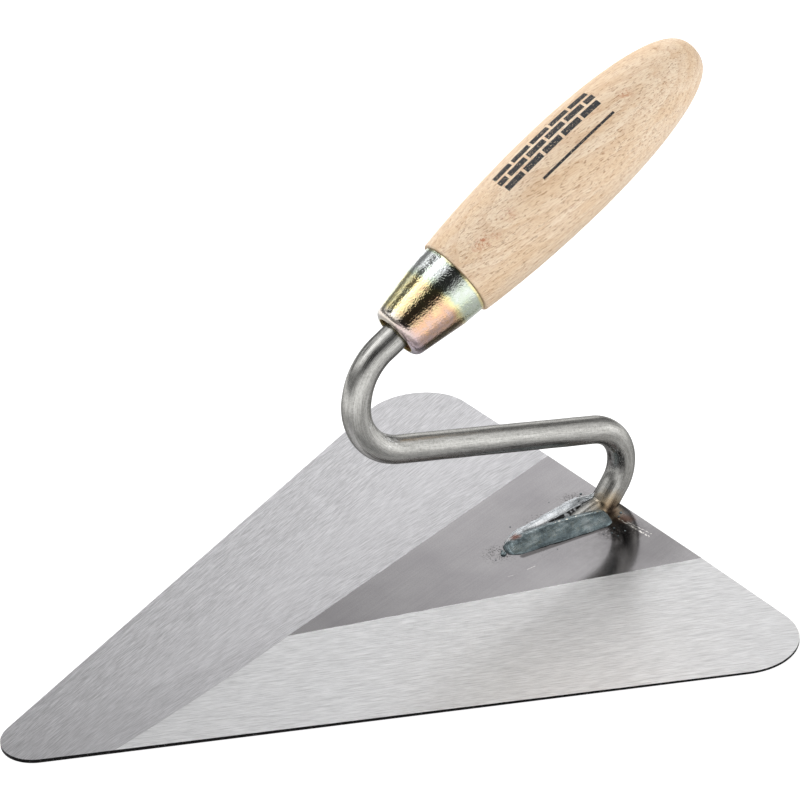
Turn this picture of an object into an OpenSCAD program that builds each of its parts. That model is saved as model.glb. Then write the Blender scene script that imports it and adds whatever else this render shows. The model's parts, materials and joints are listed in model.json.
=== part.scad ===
// Bricklayer's trowel with a triangular blade, a welded swan neck and a turned
// beech handle.
//
// The origin is the centre of the blade's underside, halfway along the blade.
// The tip points along -Y, the handle rises towards +Y, and +Z is up. Left is
// -X and right is +X. The neck and the handle lie in the plane X = 0.

/* [Blade] */
// Length from the tip to the rear edge
blade_len = 220; // [180:1:280]
// Width across the rear corners
blade_w = 212; // [170:1:260]
// Thickness of the sheet where it isn't ground
blade_t = 1.8; // [1.2:0.1:3]
// Thickness left where the ground bands meet the rear corners
edge_t = 0.7; // [0.4:0.1:1]
// Radius of the tip
tip_r = 11.5; // [6:0.5:20]
// Radius of each rear corner
corner_r = 18.5; // [8:0.5:30]

/* [Unground panel] */
// Length of the panel, from the rear edge to its point
panel_len = 123.5; // [100:0.5:150]
// Distance of its left rear corner from the centre line
panel_left = 37.5; // [25:0.5:55]
// Distance of its right rear corner from the centre line
panel_right = 45.7; // [25:0.5:55]
// How far its point stands to the right of the centre line
panel_point = 1.1; // [-5:0.1:5]

/* [Neck] */
// Diameter of the bar
bar_d = 9; // [7:0.5:11]
// Slope at which the foot runs down into the face of the blade, in degrees
foot_slope = 16.4; // [13:0.1:22]
// How far the middle of the bar lies under the face where the heel starts to bend
foot_sink = 0.95; // [0.3:0.05:2]
// Radius of the bend at the heel, to the middle of the bar
heel_bend_r = 7; // [6:0.5:10]
// Slope of the bar above the heel, in degrees
heel_slope = 51; // [40:1:65]
// Length of the straight stretch above the heel
heel_len = 6.3; // [3:0.1:15]
// How far the heel stands past the rear edge of the blade
heel_past = 0.8; // [-20:0.1:1.5]
// Radius of the rear bend, to the middle of the bar
rear_bend_r = 14; // [12:0.1:20]
// Length of the straight stretch over the blade
reach = 74; // [55:1:90]
// Fall of the straight stretch towards the rear, in degrees
reach_fall = 15.4; // [8:0.1:22]
// Radius of the lower front bend, to the middle of the bar
lower_bend_r = 18.1; // [14:0.1:26]
// Radius of the upper front bend, to the middle of the bar
upper_bend_r = 19.9; // [14:0.1:26]
// Length of the straight stretch between the two front bends
rise = 1; // [1:0.5:30]
// Slope of that stretch, in degrees
rise_slope = 74; // [60:1:95]
// Bare bar between the upper bend and the mouth of the ferrule
throat = 5.6; // [2:0.2:15]
// Length of the tang, from the mouth of the ferrule to its point
tang_len = 82; // [55:1:95]
// Length of the tang's point
tang_point = 8; // [4:1:14]
// Diameter of its end
tang_end_d = 3; // [2:0.5:5]
// How much slimmer than the bar the point starts, on the radius
tang_step = 0.15; // [0.1:0.05:0.5]
// How much the bar swells in its bends, on the radius
bend_swell = 0.02; // [0.02:0.01:0.1]

/* [Ferrule] */
// Length of the ferrule
ferrule_len = 25; // [20:0.5:32]
// Outside diameter of the collar at the wood
ferrule_d = 24.6; // [22:0.1:28]
// Length of the collar, where the ferrule is nearly a cylinder
collar_len = 7.4; // [4:0.2:10]
// How much the collar narrows from the wood to the cone, on the radius
collar_taper = 0.5; // [0:0.1:0.8]
// Width of the open mouth round the bar
mouth_gap = 2.1; // [1.7:0.1:3.5]
// Radius of the rolled lip round the mouth
lip_r = 2.7; // [2:0.1:3]
// Thickness of the sheet
ferrule_t = 0.8; // [0.6:0.1:1.2]

/* [Handle] */
// Slope of the handle over the blade, in degrees
handle_slope = 27.5; // [15:0.5:40]
// Length of the wood behind the ferrule
grip_len = 102.5; // [90:0.5:130]
// Largest diameter of the grip
grip_d = 32; // [29:0.1:38]
// How far the shoulder stands out over the ferrule
shoulder_step = 1; // [0.7:0.1:2]
// Distance from the shoulder to the largest diameter
belly_at = 46; // [35:1:60]
// How full the end of the grip is: 0.5 is an ellipse, and less is blunter
tail_fullness = 0.35; // [0.25:0.01:0.5]
// Radius of the worn edge of the shoulder
shoulder_edge_r = 0.6; // [0.2:0.1:0.8]
// Gap between the ferrule and the shoulder
shoulder_gap = 0.25; // [0.1:0.05:0.5]
// Distance from the mouth of the ferrule to the front of the wooden spigot
spigot_from = 7; // [5:0.5:12]

/* [Weld] */
// Radius of the right bead
bead_right_r = 4.2; // [3.5:0.1:5]
// Radius of the left bead
bead_left_r = 3.8; // [3:0.1:4.5]
// Depth of the middle of each bead under the face of the blade
bead_sink = 1; // [0.5:0.1:1.5]
// How far the right bead runs past the point of the foot
bead_lead = 22; // [12:0.5:30]
// How far the right bead runs past the start of the heel
bead_tail = 1.4; // [0.5:0.1:2]
// How much further back the left bead starts
left_starts = 1; // [0:0.1:1.5]
// How much sooner the left bead ends
left_ends = 3; // [0:0.5:8]
// Distance of the middle of the right bead from the side of the bar, at its rear end
right_out = 2; // [1:0.1:3]
// The same for the left bead
left_out = 1.2; // [0.5:0.1:3]
// Distance of the front end of the right bead from the centre line
right_front = 3.6; // [1:0.1:5]
// The same for the left bead
left_front = 1; // [0:0.1:4]

/* [Fits] */
// Clearance round the tang in the wood
tang_clear = 0.05; // [0.02:0.01:0.2]
// How far the hole in the wood runs past the end of the tang
hole_past = 2; // [1:0.5:6]
// Clearance between the spigot and the inside of the ferrule
spigot_clear = 0.1; // [0.05:0.05:0.3]

/* [Hidden] */

$fn = 96;
big = 1000;
tip_y = -blade_len / 2;
rear_y = blade_len / 2;
bar_r = bar_d / 2;
lap = 0.3;
grind_margin = 3;

// Blade: the long edges are tangent to the tip's arc and to the corner arcs
corner_x = blade_w / 2 - corner_r;
corner_to_tip = blade_len - tip_r - corner_r;
arcs_apart = norm([corner_x, corner_to_tip]);
point_half = acos((tip_r - corner_r) / arcs_apart) - atan2(corner_to_tip, corner_x);
sharp_x = corner_x + corner_r * (1 + sin(point_half)) / cos(point_half);
panel_nose = [panel_point, rear_y - panel_len];

// Neck: each stretch starts where the last one ends, as [y, z]
function heading(a) = [cos(a), sin(a)];
function left_of(a) = [-sin(a), cos(a)];
function after_bend(p, a, r, turn) =
    p + sign(turn) * r * (left_of(a) - left_of(a + turn));

// Foot: the rear flank of the bar above the heel meets the face at the heel
heel_turn = heel_slope - foot_slope;
to_flank = after_bend([0, 0], foot_slope, heel_bend_r, heel_turn) - bar_r * left_of(heel_slope);
flank_run = (foot_sink - to_flank[1]) / tan(heel_slope);
foot_end = [rear_y + heel_past - to_flank[0] - flank_run, blade_t - foot_sink];
foot_rise = bar_r * cos(foot_slope) - foot_sink;
foot_len = foot_rise / sin(foot_slope);
foot_point_y = foot_end[0] - bar_r * sin(foot_slope) - foot_len * cos(foot_slope);

reach_heading = 180 - reach_fall;
rear_turn = reach_heading - heel_slope;
lower_turn = rise_slope - reach_heading;
upper_turn = handle_slope - rise_slope;
heel_start = after_bend(foot_end, foot_slope, heel_bend_r, heel_turn);
heel_end = heel_start + heel_len * heading(heel_slope);
reach_start = after_bend(heel_end, heel_slope, rear_bend_r, rear_turn);
reach_end = reach_start + reach * heading(reach_heading);
rise_start = after_bend(reach_end, reach_heading, lower_bend_r, lower_turn);
rise_end = rise_start + rise * heading(rise_slope);
throat_start = after_bend(rise_end, rise_slope, upper_bend_r, upper_turn);
mouth = throat_start + throat * heading(handle_slope);

// Ferrule: the cone leaves the lip's arc as its tangent
collar_r = ferrule_d / 2;
collar_from = ferrule_len - collar_len;
lip_centre = [bar_r + mouth_gap, lip_r];
waist_r = collar_r - collar_taper;
to_collar = [waist_r, collar_from] - lip_centre;
cone_slope = atan2(to_collar[0], to_collar[1]) - asin(lip_r / norm(to_collar));

// Handle: distances along its axis are counted from the mouth of the ferrule
shoulder_at = ferrule_len + shoulder_gap;
grip_end = shoulder_at + grip_len;
widest_at = shoulder_at + belly_at;
shoulder_r = collar_r + shoulder_step;
grip_r = grip_d / 2;
spigot_r = collar_r - ferrule_t - spigot_clear;
spigot_slack = (ferrule_t + spigot_clear) / cos(cone_slope);
spigot_nose_r = waist_r - (collar_from - spigot_from) * tan(cone_slope) - spigot_slack;
bore_r = bar_r + tang_clear;
bore_end = tang_len + hole_past;

// Weld: each bead is [x, y] of its rear end, then of its front end
right_rear_y = foot_end[0] + bead_tail - bead_right_r;
left_rear_y = foot_end[0] + bead_tail + left_starts - bead_left_r;
right_front_y = foot_point_y - bead_lead + bead_right_r;
left_front_y = foot_point_y - bead_lead + left_ends + bead_left_r;
bead_right = [[bar_r + right_out, right_rear_y], [right_front, right_front_y]];
bead_left = [[-bar_r - left_out, left_rear_y], [-left_front, left_front_y]];

// Points of a round stretch from angle a0 to angle a1 about c, in steps of about 5 degrees
function arc(c, r, a0, a1, steps = 0) =
    let (n = steps > 0 ? steps : max(2, ceil(abs(a1 - a0) / 5)))
    [for (i = [0 : n]) c + r * heading(a0 + (a1 - a0) * i / n)];

// Turns a drawing in the plane of X and Y into the plane X = 0
module upright() {
    rotate([90, 0, 90]) children();
}

// Puts the Z axis of its children on the handle's axis, from the mouth
module on_handle_axis() {
    upright() translate([mouth[0], mouth[1], 0]) rotate([0, 90, handle_slope]) children();
}

// One straight stretch of the bar, from p along angle a, whose ends lie a little inside the bends
module bar(p, a, len) {
    start = p - lap * heading(a);
    upright() translate([start[0], start[1], 0]) rotate([0, 90, a]) cylinder(h = len + 2 * lap, r = bar_r);
}

// One bend of the bar, from p at angle a, turning left if turn is positive
module bend(p, a, r, turn) {
    side = sign(turn);
    centre = p + side * r * left_of(a);
    from = side > 0 ? a - 90 : a + turn + 90;
    upright() translate([centre[0], centre[1], 0]) rotate([0, 0, from])
        rotate_extrude(angle = abs(turn)) translate([r, 0]) circle(bar_r + bend_swell);
}

// Everything lower than the face of the blade
module below_face() {
    translate([-big / 2, -big / 2, blade_t - big]) cube([big, big, big]);
}

module blade_outline() {
    corner_y = rear_y - corner_r;
    polygon(concat(
        arc([corner_x, corner_y], corner_r, 90, -point_half, 24),
        arc([0, tip_y + tip_r], tip_r, -point_half, point_half - 180, 24),
        arc([-corner_x, corner_y], corner_r, 180 + point_half, 90, 24)));
}

// What the grinder takes off on one side of the panel; side is 1 on the right
module ground_away(rear_x, side) {
    rear = [rear_x, rear_y];
    along = atan2(panel_nose[1] - rear[1], panel_nose[0] - rear[0]);
    band = (sharp_x - abs(rear_x)) * abs(sin(along));
    fall = atan((blade_t - edge_t) / band);
    translate([rear[0], rear[1], blade_t]) rotate([0, 0, along]) rotate([-side * fall, 0, 0])
        translate([-big / 2, side > 0 ? 0 : -big, 0]) cube([big, big, big]);
}

module blade() {
    color("silver") difference() {
        linear_extrude(blade_t) blade_outline();
        ground_away(panel_right, 1);
        ground_away(-panel_left, -1);
    }
}

// The foot and the rear bend, before the underside of the foot is ground off
module whole_foot() {
    foot_start = foot_end - (foot_len + grind_margin) * heading(foot_slope);
    bar(foot_start, foot_slope, foot_len + grind_margin);
    bend(foot_end, foot_slope, heel_bend_r, heel_turn);
    bar(heel_start, heel_slope, heel_len);
    bend(heel_end, heel_slope, rear_bend_r, rear_turn);
}

module neck() {
    color("dimgray") {
        difference() {
            whole_foot();
            below_face();
        }
        bar(reach_start, reach_heading, reach);
        bend(reach_end, reach_heading, lower_bend_r, lower_turn);
        bar(rise_start, rise_slope, rise);
        bend(rise_end, rise_slope, upper_bend_r, upper_turn);
        bar(throat_start, handle_slope, throat + tang_len - tang_point);
        on_handle_axis() translate([0, 0, tang_len - tang_point])
            cylinder(h = tang_point, r1 = bar_r - tang_step, r2 = tang_end_d / 2);
    }
}

// A bead of radius r with round ends, between the points of ends
module bead(ends, r) {
    span = ends[1] - ends[0];
    len = norm(span);
    half = concat(arc([0, 0], r, -90, 0), arc([0, len], r, 0, 90));
    translate([ends[0][0], ends[0][1], blade_t - bead_sink])
        rotate([-90, 0, atan2(span[1], span[0]) - 90]) rotate_extrude() polygon(half);
}

module weld_bead_right() {
    color("slategray") difference() {
        bead(bead_right, bead_right_r);
        below_face();
        whole_foot();
    }
}

module weld_bead_left() {
    color("lightslategray") difference() {
        bead(bead_left, bead_left_r);
        below_face();
        whole_foot();
        bead(bead_right, bead_right_r);
    }
}

module ferrule() {
    outside = concat(arc(lip_centre, lip_r, -90, -cone_slope),
        [[waist_r, collar_from], [collar_r, ferrule_len]]);
    inside = concat([[collar_r - ferrule_t, ferrule_len], [waist_r - ferrule_t, collar_from]],
        arc(lip_centre, lip_r - ferrule_t, -cone_slope, -90));
    color("khaki") on_handle_axis() rotate_extrude() polygon(concat(outside, inside));
}

module handle() {
    belly = [for (i = [10 : -1 : 1]) let (v = i / 10)
        [grip_r - (grip_r - shoulder_r) * pow(v, 2), widest_at - belly_at * v]];
    tail_len = grip_end - widest_at;
    tail = [for (t = [0 : 3 : 87])
        [grip_r * pow(cos(t), 2 * tail_fullness), widest_at + tail_len * sin(t)]];
    edge = arc([shoulder_r - shoulder_edge_r, shoulder_at + shoulder_edge_r], shoulder_edge_r, -90, -15);
    wood = concat(
        [[bore_r, spigot_from], [spigot_nose_r, spigot_from]],
        [[spigot_r - collar_taper, collar_from], [spigot_r, ferrule_len], [spigot_r, shoulder_at]],
        edge,
        [for (p = belly) if (p[1] > shoulder_at + 2 * shoulder_edge_r) p],
        tail,
        [[0, grip_end], [0, bore_end], [bore_r, bore_end]]);
    color("burlywood") on_handle_axis() rotate_extrude() polygon(wood);
}

blade();
neck();
weld_bead_left();
weld_bead_right();
ferrule();
handle();
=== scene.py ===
"""A bricklayer's trowel in a pale studio.

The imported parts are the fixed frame. The blade, the ferrule and the handle are shown as they come, with
their own finishes. The neck and the two weld beads are shown by finer pieces that stand for the packed
ones: a bar with its bends, scuffs and straightened coordinates, and two rippled fillets with spatter.

Sizes are in millimetres and become metres where a mesh, a light or the camera is made.
"""

from __future__ import annotations

import json
import logging
import math
from dataclasses import InitVar, dataclass, field
from enum import Enum
from typing import Sequence

import bmesh
import bpy
from mathutils import Matrix, Vector, noise

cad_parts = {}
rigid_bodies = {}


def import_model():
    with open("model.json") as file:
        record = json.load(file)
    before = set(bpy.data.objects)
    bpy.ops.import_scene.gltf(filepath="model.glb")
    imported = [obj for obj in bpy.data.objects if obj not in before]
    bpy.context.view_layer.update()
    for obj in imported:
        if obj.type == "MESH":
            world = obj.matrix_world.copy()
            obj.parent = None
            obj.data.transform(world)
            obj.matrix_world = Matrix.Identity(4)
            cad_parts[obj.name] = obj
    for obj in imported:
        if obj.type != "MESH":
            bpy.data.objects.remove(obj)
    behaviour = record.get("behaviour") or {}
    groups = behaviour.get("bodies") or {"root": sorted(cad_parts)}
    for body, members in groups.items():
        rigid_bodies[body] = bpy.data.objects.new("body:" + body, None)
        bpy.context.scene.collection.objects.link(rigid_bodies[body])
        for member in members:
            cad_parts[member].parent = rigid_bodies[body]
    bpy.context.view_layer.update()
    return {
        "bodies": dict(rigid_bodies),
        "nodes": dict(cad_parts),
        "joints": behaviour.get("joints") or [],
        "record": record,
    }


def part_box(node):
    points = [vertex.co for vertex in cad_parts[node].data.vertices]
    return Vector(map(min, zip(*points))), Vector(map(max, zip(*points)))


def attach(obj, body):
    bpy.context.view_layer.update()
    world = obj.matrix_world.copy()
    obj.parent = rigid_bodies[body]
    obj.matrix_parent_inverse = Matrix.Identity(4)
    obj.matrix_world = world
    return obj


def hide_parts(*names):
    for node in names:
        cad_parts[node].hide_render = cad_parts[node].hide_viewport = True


MM = 0.001
BODY = "root"

log = logging.getLogger("trowel")

Socket = bpy.types.NodeSocket
Colour = tuple[float, float, float, float]
Pair = tuple[float, float]
Triple = tuple[float, float, float]
Line = tuple[Pair, Pair, float]
Patch = tuple[Pair, float, float, float]
Spot = tuple[float, float, float, float]
Station = tuple[float, float, float, float, float]


def shade(red: float, green: float, blue: float) -> Colour:
    """Turns a display colour into the linear one that the shaders use.

    Args:
        red: Red, from 0 to 255.
        green: Green, from 0 to 255.
        blue: Blue, from 0 to 255.

    Returns:
        The linear colour with full alpha.
    """

    def linear(value: float) -> float:
        """Gives one channel in linear light."""
        share = value / 255
        return share / 12.92 if share <= 0.04045 else ((share + 0.055) / 1.055) ** 2.4

    return linear(red), linear(green), linear(blue), 1.0


def turned(degrees: float) -> Pair:
    """Gives the unit vector at an angle, in degrees."""
    return math.cos(math.radians(degrees)), math.sin(math.radians(degrees))


# --- node wiring


class Graph:
    """Short calls that wire nodes in one tree."""

    def __init__(self, tree: bpy.types.NodeTree) -> None:
        """Keeps the tree that every call adds to."""
        self.tree = tree

    def node(self, kind: str, **settings: object) -> bpy.types.Node:
        """Adds a node.

        Args:
            kind: The node's type name without its ShaderNode prefix.
            settings: Properties to set on it.

        Returns:
            The new node.
        """
        made = self.tree.nodes.new("ShaderNode" + kind)
        for name, value in settings.items():
            setattr(made, name, value)
        return made

    def feed(self, socket: Socket, value: object) -> None:
        """Links a socket to another one, or sets its own value.

        Args:
            socket: The input to fill.
            value: A socket, a constant or None to leave it as it is.
        """
        if isinstance(value, bpy.types.NodeSocket):
            self.tree.links.new(value, socket)
        elif value is not None:
            socket.default_value = value

    def math(self, operation: str, *values: object, clamp: bool = False) -> Socket:
        """Adds a Math node and returns its value.

        Args:
            operation: The node's operation.
            values: Sockets or constants, one for each input.
            clamp: Whether the result is held between 0 and 1.

        Returns:
            The result.
        """
        made = self.node("Math", operation=operation, use_clamp=clamp)
        for socket, value in zip(made.inputs, values):
            self.feed(socket, value)
        return made.outputs[0]

    def times(self, first: object, second: object) -> Socket:
        """Multiplies two values."""
        return self.math("MULTIPLY", first, second)

    def plus(self, first: object, second: object, clamp: bool = False) -> Socket:
        """Adds two values."""
        return self.math("ADD", first, second, clamp=clamp)

    def minus(self, first: object, second: object) -> Socket:
        """Subtracts the second value from the first."""
        return self.math("SUBTRACT", first, second)

    def vector(self, operation: str, *values: object) -> bpy.types.Node:
        """Adds a Vector Math node.

        Args:
            operation: The node's operation.
            values: Sockets or constants, one for each input.

        Returns:
            The node.
        """
        made = self.node("VectorMath", operation=operation)
        for socket, value in zip(made.inputs, values):
            self.feed(socket, value)
        return made

    def split(self, vector: Socket) -> tuple[Socket, Socket, Socket]:
        """Splits a vector into its three parts."""
        made = self.node("SeparateXYZ")
        self.feed(made.inputs[0], vector)
        return made.outputs[0], made.outputs[1], made.outputs[2]

    def join(self, x: object, y: object, z: object) -> Socket:
        """Joins three values into a vector.

        Args:
            x: Its x, a socket or a constant.
            y: Its y.
            z: Its z.

        Returns:
            The vector.
        """
        made = self.node("CombineXYZ")
        for socket, value in zip(made.inputs, (x, y, z)):
            self.feed(socket, value)
        return made.outputs[0]

    def noise(self, vector: Socket, scale: float, detail: float = 3, rough: float = 0.55) -> Socket:
        """Adds a noise texture and returns its value.

        Args:
            vector: Where it is read.
            scale: How many bumps there are for each unit.
            detail: How many finer layers it has.
            rough: How strong those layers are.

        Returns:
            The value, from 0 to 1.
        """
        made = self.node("TexNoise", noise_dimensions="3D")
        self.feed(made.inputs["Vector"], vector)
        made.inputs["Scale"].default_value = scale
        made.inputs["Detail"].default_value = detail
        made.inputs["Roughness"].default_value = rough
        return made.outputs["Fac"]

    def span(self, value: object, low: object, high: object, to_low: float = 0, to_high: float = 1) -> Socket:
        """Maps a value smoothly from one range to another and holds it there.

        Args:
            value: The value to map.
            low: Where the first range starts.
            high: Where it ends.
            to_low: What the start becomes.
            to_high: What the end becomes.

        Returns:
            The mapped value.
        """
        made = self.node("MapRange", interpolation_type="SMOOTHSTEP")
        for socket, item in zip(made.inputs[:5], (value, low, high, to_low, to_high)):
            self.feed(socket, item)
        return made.outputs[0]

    def mix(self, share: object, first: object, second: object, blend: str = "MIX") -> Socket:
        """Mixes two colours and returns the result.

        Args:
            share: How much of the second colour there is.
            first: The first colour.
            second: The second colour.
            blend: How they are mixed.

        Returns:
            The mixed colour.
        """
        made = self.node("Mix", data_type="RGBA", blend_type=blend)
        for socket, value in zip((made.inputs[0], made.inputs[6], made.inputs[7]), (share, first, second)):
            self.feed(socket, value)
        return made.outputs[2]

    def blend(self, *parts: tuple[Socket, float]) -> Socket:
        """Adds values up, each times its own share.

        Args:
            parts: Each value and its share.

        Returns:
            The sum.
        """
        total = None
        for value, share in parts:
            part = self.times(value, share)
            total = part if total is None else self.plus(total, part)
        return total

    def between(self, value: Socket, start: float, end: float, soft: float = 0.2) -> Socket:
        """Gives 1 from one value to another, fading within their soft edges, and 0 elsewhere."""
        return self.times(self.span(value, start, start + soft), self.span(value, end, end + soft, 1, 0))

    def stain(self, colour: Socket, tint: Colour, mask: Socket, strength: Socket | float) -> Socket:
        """Lays a tint over a colour, as strongly as its mask and strength say."""
        return self.mix(self.times(mask, strength), colour, tint)

    def ramp(self, value: Socket, stops: Sequence[tuple[float, Colour]]) -> Socket:
        """Turns a value into a colour.

        Args:
            value: The socket to read, from 0 to 1.
            stops: Places and colours, in rising order.

        Returns:
            The colour socket.
        """
        made = self.node("ValToRGB")
        bar = made.color_ramp
        while len(bar.elements) < len(stops):
            bar.elements.new(1.0)
        for element, (place, colour) in zip(bar.elements, stops):
            element.position = place
            element.color = colour
        self.feed(made.inputs[0], value)
        return made.outputs[0]

    def group(self, tree: bpy.types.NodeTree, **values: object) -> Socket:
        """Places a node group with its own values and returns its first output.

        Args:
            tree: The node group.
            values: A value for each input, by name with _ for a space.

        Returns:
            Its first output.
        """
        made = self.node("Group")
        made.node_tree = tree
        for name, value in values.items():
            self.feed(made.inputs[name.replace("_", " ").capitalize()], value)
        return made.outputs[0]

    def bump(self, height: Socket, depth: float, under: Socket | None = None) -> Socket:
        """Adds a bump of a depth in millimetres and returns its normal.

        Args:
            height: The height, from 0 to 1.
            depth: How deep a height of 1 is, in millimetres.
            under: The normal that it stands on.

        Returns:
            The normal.
        """
        made = self.node("Bump")
        made.inputs["Distance"].default_value = depth * MM
        self.feed(made.inputs["Height"], height)
        self.feed(made.inputs["Normal"], under)
        return made.outputs[0]

    def millimetres(self) -> Socket:
        """Gives the place on the object in its own frame, in millimetres.

        Returns:
            The place.
        """
        place = self.node("TexCoord").outputs["Object"]
        scaled = self.vector("SCALE", place)
        scaled.inputs["Scale"].default_value = 1 / MM
        return scaled.outputs[0]


def new_group(
    name: str, inputs: dict[str, str], output: str = "Mask"
) -> tuple[Graph, dict[str, Socket], Socket]:
    """Starts a shader node group.

    Args:
        name: The group's name.
        inputs: Each input's name and its kind: Float, Vector or Color.
        output: The name of its one output, a value.

    Returns:
        Its graph, its inputs by name and the socket that its result goes to.
    """
    tree = bpy.data.node_groups.new(name, "ShaderNodeTree")
    for label, kind in inputs.items():
        tree.interface.new_socket(name=label, in_out="INPUT", socket_type="NodeSocket" + kind)
    tree.interface.new_socket(name=output, in_out="OUTPUT", socket_type="NodeSocketFloat")
    graph = Graph(tree)
    start = tree.nodes.new("NodeGroupInput")
    end = tree.nodes.new("NodeGroupOutput")
    return graph, {label: start.outputs[label] for label in inputs}, end.inputs[output]


class Effects:
    """The node groups that more than one finish uses, each built once."""

    def __init__(self) -> None:
        """Builds the groups."""
        self.lines = self._lines()
        self.specks = self._specks()
        self.patch = self._patch()
        self.stroke = self._stroke()

    @staticmethod
    def _lines() -> bpy.types.NodeTree:
        """Builds long thin lines, as a belt, a die or a grain leaves them.

        Returns:
            A group whose value runs from 0 to 1 across the lines. Angle turns the lines about Z, Width is
            their spacing and Length how far each one runs, in millimetres. The lines run along Y.
        """
        graph, given, result = new_group(
            "long lines", {"Vector": "Vector", "Angle": "Float", "Width": "Float", "Length": "Float"}, "Value"
        )
        turn = graph.node("VectorRotate", rotation_type="Z_AXIS")
        graph.feed(turn.inputs["Vector"], given["Vector"])
        graph.feed(turn.inputs["Angle"], given["Angle"])
        scale = graph.join(given["Width"], given["Length"], given["Width"])
        place = graph.vector("DIVIDE", turn.outputs[0], scale).outputs[0]
        graph.feed(result, graph.noise(place, 1.0, 4, 0.65))
        return graph.tree

    @staticmethod
    def _specks() -> bpy.types.NodeTree:
        """Builds scattered specks.

        Returns:
            A group whose mask is 1 on the specks. Size is in millimetres, and Cover, from 0 to 1, is how
            much of the surface they take.
        """
        graph, given, result = new_group(
            "scattered specks", {"Vector": "Vector", "Size": "Float", "Cover": "Float"}
        )
        size = given["Size"]
        scaled = graph.vector("DIVIDE", given["Vector"], graph.join(size, size, size))
        value = graph.noise(scaled.outputs[0], 1.0, 2, 0.6)
        edge = graph.minus(0.72, graph.times(given["Cover"], 0.4))
        graph.feed(result, graph.span(value, edge, graph.plus(edge, 0.05)))
        return graph.tree

    @staticmethod
    def _patch() -> bpy.types.NodeTree:
        """Builds a soft patch with a ragged edge, such as soot, tint or a spot of wear.

        Returns:
            A group whose mask is 1 at Centre and falls to 0 at Radius, in millimetres. Ragged is how far
            the edge strays.
        """
        graph, given, result = new_group(
            "ragged patch", {"Vector": "Vector", "Centre": "Vector", "Radius": "Float", "Ragged": "Float"}
        )
        away = graph.vector("DISTANCE", given["Vector"], given["Centre"]).outputs["Value"]
        stray = graph.minus(graph.noise(given["Vector"], 0.45, 4, 0.6), 0.5)
        away = graph.plus(away, graph.times(stray, given["Ragged"]))
        inner = graph.times(given["Radius"], 0.25)
        graph.feed(result, graph.span(away, inner, given["Radius"], 1, 0))
        return graph.tree

    @staticmethod
    def _stroke() -> bpy.types.NodeTree:
        """Builds a thin stroke between two points, such as one scratch.

        Returns:
            A group whose mask is 1 within Width of the line from Start to End, in millimetres.
        """
        graph, given, result = new_group(
            "single stroke", {"Vector": "Vector", "Start": "Vector", "End": "Vector", "Width": "Float"}
        )
        span = graph.vector("SUBTRACT", given["End"], given["Start"]).outputs[0]
        off = graph.vector("SUBTRACT", given["Vector"], given["Start"]).outputs[0]
        along = graph.vector("DOT_PRODUCT", off, span).outputs["Value"]
        whole = graph.vector("DOT_PRODUCT", span, span).outputs["Value"]
        share = graph.math("DIVIDE", along, whole, clamp=True)
        nearest = graph.vector("SCALE", span)
        graph.feed(nearest.inputs["Scale"], share)
        away = graph.vector("DISTANCE", off, nearest.outputs[0]).outputs["Value"]
        graph.feed(result, graph.span(away, graph.times(given["Width"], 0.4), given["Width"], 1, 0))
        return graph.tree


@dataclass(frozen=True)
class Finish:
    """What every finish shares: a named material around one Principled shader."""

    effects: Effects

    @staticmethod
    def start(name: str, **constants: float | Colour) -> tuple[bpy.types.Material, Graph, bpy.types.Node]:
        """Makes the material.

        Args:
            name: The material's name.
            constants: Shader values that are the same all over, by socket name with _ for a space.

        Returns:
            The material, its graph and its Principled node.
        """
        material = bpy.data.materials.new(name)
        material.use_nodes = True
        graph = Graph(material.node_tree)
        shader = material.node_tree.nodes["Principled BSDF"]
        for label, value in constants.items():
            shader.inputs[label.replace("_", " ")].default_value = value
        return material, graph, shader


def wear(piece: bpy.types.Object, material: bpy.types.Material) -> None:
    """Gives a piece one material."""
    piece.data.materials.clear()
    piece.data.materials.append(material)


# --- mesh helpers


def loft(name: str, rings: Sequence[Sequence[Vector]], capped: bool = True) -> bpy.types.Object:
    """Skins closed rings of equal count, given in millimetres.

    Args:
        name: The piece's name.
        rings: Points of each ring, in order.
        capped: Whether the two ends are closed.

    Returns:
        The new object, linked to the scene.
    """
    mesh = bpy.data.meshes.new(name)
    count = len(rings[0])
    points = [point * MM for ring in rings for point in ring]
    faces = [
        (r * count + i, r * count + (i + 1) % count, (r + 1) * count + (i + 1) % count, (r + 1) * count + i)
        for r in range(len(rings) - 1)
        for i in range(count)
    ]
    if capped:
        faces.append(tuple(reversed(range(count))))
        faces.append(tuple((len(rings) - 1) * count + i for i in range(count)))
    mesh.from_pydata(points, [], faces)
    piece = bpy.data.objects.new(name, mesh)
    bpy.context.scene.collection.objects.link(piece)
    return piece


def smooth(piece: bpy.types.Object, sharp_over: float = 40) -> None:
    """Shades a piece smoothly, apart from edges sharper than an angle in degrees.

    Args:
        piece: The piece.
        sharp_over: The least angle, in degrees, that stays sharp.
    """
    mesh = bmesh.new()
    mesh.from_mesh(piece.data)
    bmesh.ops.recalc_face_normals(mesh, faces=mesh.faces)
    mesh.to_mesh(piece.data)
    mesh.free()
    piece.data.shade_smooth()
    piece.data.set_sharp_from_angle(angle=math.radians(sharp_over))


def through(points: Sequence[Sequence[float]], place: float) -> list[float]:
    """Reads a smooth curve through points.

    Args:
        points: The points, each of the same count of numbers.
        place: Where to read it: 0 is the first point and len(points) - 1 the last.

    Returns:
        The numbers there.
    """
    last = len(points) - 1
    i = min(int(place), last - 1)
    t = place - i
    a, b, c, d = (points[max(0, min(last, k))] for k in (i - 1, i, i + 1, i + 2))
    return [
        0.5 * (2 * q + (r - p) * t + (2 * p - 5 * q + 4 * r - s) * t**2 + (3 * q - p - 3 * r + s) * t**3)
        for p, q, r, s in zip(a, b, c, d)
    ]


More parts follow.
